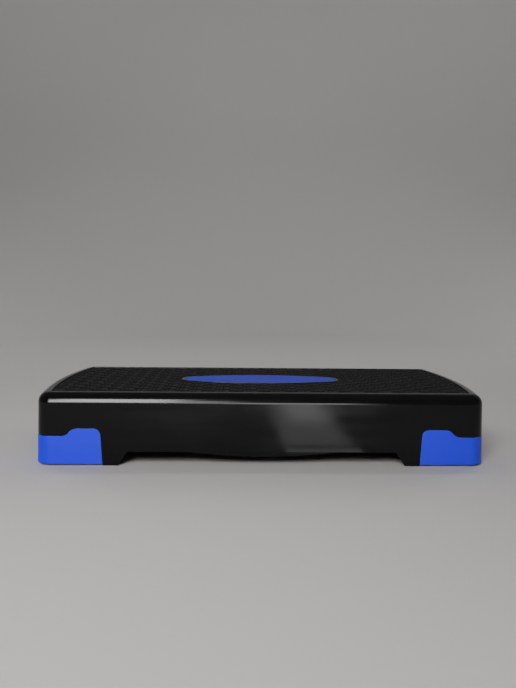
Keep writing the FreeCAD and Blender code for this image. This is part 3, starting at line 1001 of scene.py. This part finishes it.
@dataclass(frozen=True)
class Studio:
    """Pale paper floor that curves up all round, soft lights and a dim even surround."""

    radius: float = 3.0
    bend: float = 1.2
    rise: float = 3.2
    steps: int = 16
    turns: int = 96
    surround: float = 0.13
    surround_tint: Colour = (0.9, 0.95, 1.0)
    lights: tuple[SoftBox, ...] = (
        SoftBox("key_softbox", (-0.6, -1.8, 1.38), (-0.1, -0.3, 0.0), (1.1, 0.9), 16.6, beam=110.0),
        SoftBox("back_left", (-2.0, 1.3, 1.3), (0.0, 0.0, 0.05), (0.9, 0.9), 8.0),
        SoftBox("back_right", (2.0, 1.3, 1.3), (0.0, 0.0, 0.05), (0.9, 0.9), 8.0),
        SoftBox("wall_light", (0.0, 0.9, 2.7), (0.0, 3.0, 0.6), (3.0, 0.6), 26.0),
        SoftBox("tall_shine", (-0.69, -1.9, 0.95), (-0.69, 0.0, 0.95), (0.68, 1.5), 80.0, Lamp.SHINE),
        SoftBox("middle_shine", (-0.22, -1.9, 0.5), (-0.22, 0.0, 0.5), (0.25, 0.9), 7.0, Lamp.SHINE),
        SoftBox("low_shine", (0.2, -1.9, 0.16), (0.2, 0.0, 0.16), (0.6, 0.3), 8.0, Lamp.SHINE),
        SoftBox("far_floor_shine", (0.21, -1.45, 0.001), (0.21, -1.45, 1.0), (0.44, 0.86), 9.0, Lamp.SHINE),
        SoftBox("floor_shine", (0.125, -0.74, 0.002), (0.125, -0.74, 1.0), (0.1, 0.45), 0.5, Lamp.SHINE),
        SoftBox("floor_glow", (0.1, -0.6, 0.001), (0.1, -0.6, 1.0), (0.12, 0.66), 0.5, Lamp.SHINE),
        SoftBox("skirt_shine", (0.103, -0.222, 0.001), (0.103, -0.222, 1.0), (0.124, 0.05), 0.04,
                Lamp.SHINE),
    )

    def sweep(self, paper: bpy.types.Material) -> None:
        """Lays the floor and curves it up far behind the object, on every side.

        Args:
            paper: finish of the sweep.
        """
        flat = self.radius - self.bend
        line = [(flat, 0.0)]
        for step in range(1, self.steps + 1):
            angle = math.pi / 2 * step / self.steps
            line.append((flat + self.bend * math.sin(angle), self.bend * (1 - math.cos(angle))))
        line.append((self.radius, self.rise))
        points = [(0.0, 0.0, 0.0)]
        for turn in range(self.turns):
            angle = 2 * math.pi * turn / self.turns
            points += [(out * math.cos(angle), out * math.sin(angle), up) for out, up in line]
        rings = len(line)
        faces = []
        for turn in range(self.turns):
            here = 1 + turn * rings
            there = 1 + (turn + 1) % self.turns * rings
            faces.append((0, here, there))
            faces += [(here + i, here + i + 1, there + i + 1, there + i) for i in range(rings - 1)]
        mesh = bpy.data.meshes.new("studio_sweep")
        mesh.from_pydata(points, [], faces)
        mesh.shade_smooth()
        mesh.materials.append(paper)
        new_object("studio_sweep", mesh)

    def build(self, paper: bpy.types.Material) -> None:
        """Sets up the sweep, the lights and the surround.

        Args:
            paper: finish of the sweep.
        """
        self.sweep(paper)
        for light in self.lights:
            light.build()
        world = bpy.data.worlds.new("surround")
        world.use_nodes = True
        backing = world.node_tree.nodes["Background"]
        backing.inputs["Color"].default_value = (*self.surround_tint, 1.0)
        backing.inputs["Strength"].default_value = self.surround
        bpy.context.scene.world = world
        bpy.context.scene.view_settings.view_transform = "Standard"


@dataclass(frozen=True)
class PhotoCamera:
    """Camera where the photograph was taken from, fitted to the object's edges in it."""

    place: Triple = (-0.02997, -0.92052, 0.26463)
    yaw: float = -0.02756
    pitch: float = 0.10926
    roll: float = 0.01163
    lens: float = 29.042
    sensor: float = 36.0
    near: float = 10 * MM

    def build(self) -> None:
        """Makes the camera and looks through it."""
        data = bpy.data.cameras.new("photo_camera")
        data.sensor_width = self.sensor
        data.lens = self.lens
        data.clip_start = self.near
        right, ahead, up = (Matrix.Rotation(self.roll, 3, "Y") @ Matrix.Rotation(self.pitch, 3, "X")
                            @ Matrix.Rotation(-self.yaw, 3, "Z"))
        aim = Matrix((right, up, -ahead)).transposed()
        camera = bpy.data.objects.new("photo_camera", data)
        camera.matrix_world = Matrix.Translation(self.place) @ aim.to_4x4()
        bpy.context.scene.collection.objects.link(camera)
        bpy.context.scene.camera = camera


PAPER = StudioPaper("pale_studio_paper", (0.46, 0.447, 0.44))
# Blue of the oval badge: the feet's blue plastic made darker, partly a deeper insert colour and partly
# painted shade for the weaker light on the flat top
BADGE_BLUE_PAINTED_SHADE = MouldedPlastic("blue_insert_with_painted_shade", (0.009, 0.058, 0.43), (0.011, 0.064, 0.46),
                            (0.03, 0.11, 0.52), (0.42, 0.5), specular=0.2, grain=0.6 * MM)


def finishes() -> dict[Slot, bpy.types.Material]:
    """Builds the finish of every slot once.

    Returns:
        The material of each slot.
    """
    made = {
        Slot.DECK: MouldedPlastic("black_moulded_shell", (0.0019, 0.0019, 0.0022), (0.0028, 0.0028, 0.0032),
                                  (0.012, 0.012, 0.0125), (0.1, 0.15), specular=0.2),
        # Tread: its third colour, on the bar tops, is partly abrasion and partly painted highlight
        Slot.TREAD: MouldedRubber("dark_tread_rubber", (0.0028, 0.0028, 0.0031), (0.0044, 0.0044, 0.0048),
                                  (0.055, 0.055, 0.057), specular=0.09),
        Slot.BLUE: MouldedPlastic("blue_moulded_plastic", (0.012, 0.088, 0.68), (0.014, 0.095, 0.72),
                                  (0.04, 0.15, 0.75), (0.4, 0.47), specular=0.2, grain=0.6 * MM),
        Slot.PAD: MouldedRubber("black_sole_rubber", (0.009, 0.009, 0.009), (0.014, 0.014, 0.0135),
                                (0.03, 0.03, 0.029)),
        Slot.BOLT: MouldedPlastic("grey_nylon", (0.33, 0.34, 0.35), (0.38, 0.39, 0.4), (0.5, 0.5, 0.5),
                                  (0.42, 0.52), grain=0.35 * MM, cloud_size=14 * MM),
        Slot.KEEPER: MouldedPlastic("black_keeper_plastic", (0.012, 0.012, 0.013), (0.016, 0.016, 0.017),
                                    (0.035, 0.035, 0.036), (0.42, 0.52), grain=0.35 * MM,
                                    cloud_size=14 * MM),
        Slot.SCREW: PlatedSteel("zinc_plated_steel", (0.62, 0.62, 0.6), (0.45, 0.45, 0.43)),
    }
    return {slot: finish.material() for slot, finish in made.items()}


def main() -> None:
    """Builds the dressed step, the studio and the camera, and reports each piece."""
    logging.basicConfig(level=logging.INFO, format="%(name)s: %(message)s")
    PhotoCamera().build()
    skins = finishes()
    Studio().build(PAPER.material())
    built: list[SubAssembly] = []
    deck = Deck()
    deck.build(skins[Slot.DECK], skins[Slot.TREAD], BADGE_BLUE_PAINTED_SHADE.material())
    built.append(deck)
    for corner in Corner:
        foot = CornerFoot(corner)
        foot.build(skins[Slot.BLUE], skins[Slot.PAD])
        lock = FootLock(corner)
        lock.build(skins[Slot.BOLT], skins[Slot.KEEPER])
        built += [foot, lock]
    screws = KeeperScrews()
    screws.build(skins[Slot.SCREW])
    built.append(screws)
    for assembly in built:
        for piece in assembly.pieces:
            LOG.info("%s: %s, %d faces", type(assembly).__name__, piece.name, len(piece.data.polygons))


if __name__ == "__main__":
    main()
